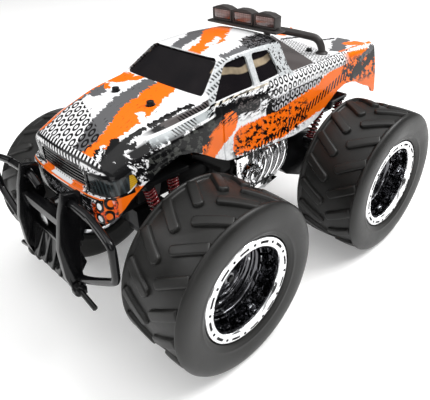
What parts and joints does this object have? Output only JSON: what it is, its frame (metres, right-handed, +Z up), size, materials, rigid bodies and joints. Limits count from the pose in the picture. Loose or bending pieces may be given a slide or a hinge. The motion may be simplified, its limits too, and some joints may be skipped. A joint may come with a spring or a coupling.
{
  "type": "radio-controlled monster truck",
  "caption": "Toy monster truck: pickup shell on a tub with swing axles on coil springs, steered front wheels, geared live rear axle, lugged tyres, bull bar and roof lights.",
  "frame": {"origin": "the middle of the overall box, on the ground under the tyres", "axes": "+Y runs from the nose to the tail, +X is the truck's left side, +Z is up"},
  "size_m": [0.277, 0.386, 0.2399],
  "materials": {
    "printed_shell": "glossy orange, white, grey and black splash print",
    "tinted_glazing": "glossy smoked black",
    "black_plastic": "satin black",
    "gloss_black_plastic": "glossy black",
    "clear_lens": "clear lens over a bright reflector",
    "smoked_lens": "smoked, slightly red",
    "dark_grey_plastic": "satin dark grey",
    "battery_sleeve": "blue shrink sleeve",
    "circuit_board": "green board",
    "plated_plastic": "bright chrome plating on plastic",
    "spring_red": "glossy dark red",
    "tyre_rubber": "matte charcoal rubber",
    "steel": "bright steel",
    "white_nylon": "natural nylon"
  },
  "bodies": {
    "chassis": {"chassis_tub": "black_plastic", "body_shell": "printed_shell", "cab_glazing": "tinted_glazing", "grille_insert": "black_plastic", "headlamp_left": "clear_lens", "headlamp_right": "clear_lens", "light_bar_housing": "dark_grey_plastic", "light_bar_lens_left": "smoked_lens", "light_bar_lens_centre": "smoked_lens", "light_bar_lens_right": "smoked_lens", "roll_bar": "dark_grey_plastic", "battery_pack": "battery_sleeve", "circuit_board": "circuit_board", "bumper_frame": "black_plastic", "bull_bar": "gloss_black_plastic", "fog_lamp_left": "clear_lens", "fog_lamp_right": "clear_lens", "engine_left": "plated_plastic", "engine_right": "plated_plastic", "front_shock_tower": "black_plastic", "rear_shock_tower": "black_plastic", "front_outer_spring_left": "spring_red", "front_outer_spring_right": "spring_red", "front_inner_spring_left": "spring_red", "front_inner_spring_right": "spring_red", "rear_inner_spring_left": "spring_red", "rear_inner_spring_right": "spring_red", "rear_outer_spring_left": "spring_red", "rear_outer_spring_right": "spring_red"},
    "battery_door": {"battery_cover": "black_plastic"},
    "switch": {"power_switch": "dark_grey_plastic"},
    "front_swing": {"front_axle": "black_plastic", "steering_servo": "black_plastic"},
    "knuckle_left": {"steering_knuckle_left": "black_plastic"},
    "knuckle_right": {"steering_knuckle_right": "black_plastic"},
    "steering_rod": {"tie_rod": "black_plastic"},
    "wheel_front_left": {"front_left_tyre": "tyre_rubber", "front_left_rim": "plated_plastic", "front_left_bead_ring": "plated_plastic", "front_left_wheel_nut": "steel"},
    "wheel_front_right": {"front_right_tyre": "tyre_rubber", "front_right_rim": "plated_plastic", "front_right_bead_ring": "plated_plastic", "front_right_wheel_nut": "steel"},
    "rear_swing": {"gearbox_case": "black_plastic", "gearbox_cover": "black_plastic", "drive_motor": "steel"},
    "rear_wheels": {"rear_axle_shaft": "steel", "axle_gear": "white_nylon", "rear_left_tyre": "tyre_rubber", "rear_left_rim": "plated_plastic", "rear_left_bead_ring": "plated_plastic", "rear_left_wheel_nut": "steel", "rear_right_tyre": "tyre_rubber", "rear_right_rim": "plated_plastic", "rear_right_bead_ring": "plated_plastic", "rear_right_wheel_nut": "steel"},
    "idler": {"idler_gear": "white_nylon"},
    "pinion": {"motor_pinion": "white_nylon"}
  },
  "joints": [
    {"name": "front_suspension", "type": "hinge", "parent": "chassis", "child": "front_swing", "pos_m": [0, -0.026, 0.08987], "axis": [-1, 0, 0], "range_deg": [0, 4], "stiffness_Nm_per_rad": 3, "springref_deg": -8.02, "deforming": ["front_outer_spring_left", "front_outer_spring_right", "front_inner_spring_left", "front_inner_spring_right"]},
    {"name": "rear_suspension", "type": "hinge", "parent": "chassis", "child": "rear_swing", "pos_m": [0, 0.046, 0.08987], "axis": [1, 0, 0], "range_deg": [0, 4], "stiffness_Nm_per_rad": 3, "springref_deg": -8.02, "deforming": ["rear_inner_spring_left", "rear_inner_spring_right", "rear_outer_spring_left", "rear_outer_spring_right"]},
    {"name": "steer_left", "type": "hinge", "parent": "front_swing", "child": "knuckle_left", "pos_m": [0.058, -0.097, 0.07487], "axis": [0, 0, 1], "range_deg": [-14, 14]},
    {"name": "steer_right", "type": "hinge", "parent": "front_swing", "child": "knuckle_right", "pos_m": [-0.058, -0.097, 0.07487], "axis": [0, 0, 1], "range_deg": [-14, 14]},
    {"name": "steering_slide", "type": "slide", "parent": "front_swing", "child": "steering_rod", "axis": [1, 0, 0], "range_m": [-0.0045, 0.0045]},
    {"name": "front_left_spin", "type": "hinge", "parent": "knuckle_left", "child": "wheel_front_left", "pos_m": [0.1035, -0.097, 0.07487], "axis": [1, 0, 0], "continuous": true},
    {"name": "front_right_spin", "type": "hinge", "parent": "knuckle_right", "child": "wheel_front_right", "pos_m": [-0.1035, -0.097, 0.07487], "axis": [1, 0, 0], "continuous": true},
    {"name": "rear_axle_spin", "type": "hinge", "parent": "rear_swing", "child": "rear_wheels", "pos_m": [0, 0.117, 0.07487], "axis": [1, 0, 0], "continuous": true},
    {"name": "idler_spin", "type": "hinge", "parent": "rear_swing", "child": "idler", "pos_m": [0, 0.09652, 0.08053], "axis": [1, 0, 0], "continuous": true},
    {"name": "pinion_spin", "type": "hinge", "parent": "rear_swing", "child": "pinion", "pos_m": [0, 0.07845, 0.08554], "axis": [1, 0, 0], "continuous": true},
    {"name": "battery_door_hinge", "type": "hinge", "parent": "chassis", "child": "battery_door", "pos_m": [0, -0.0148, 0.09707], "axis": [-1, 0, 0], "range_deg": [0, 80]},
    {"name": "switch_slide", "type": "slide", "parent": "chassis", "child": "switch", "axis": [0, 1, 0], "range_m": [0, 0.004]}
  ],
  "couplings": [
    {"joint": "steer_right", "follows": "steer_left", "ratio": 1},
    {"joint": "steering_slide", "follows": "steer_left", "m_per_rad": -0.018},
    {"joint": "idler_spin", "follows": "rear_axle_spin", "ratio": -2.4},
    {"joint": "pinion_spin", "follows": "rear_axle_spin", "ratio": 6.6}
  ]
}
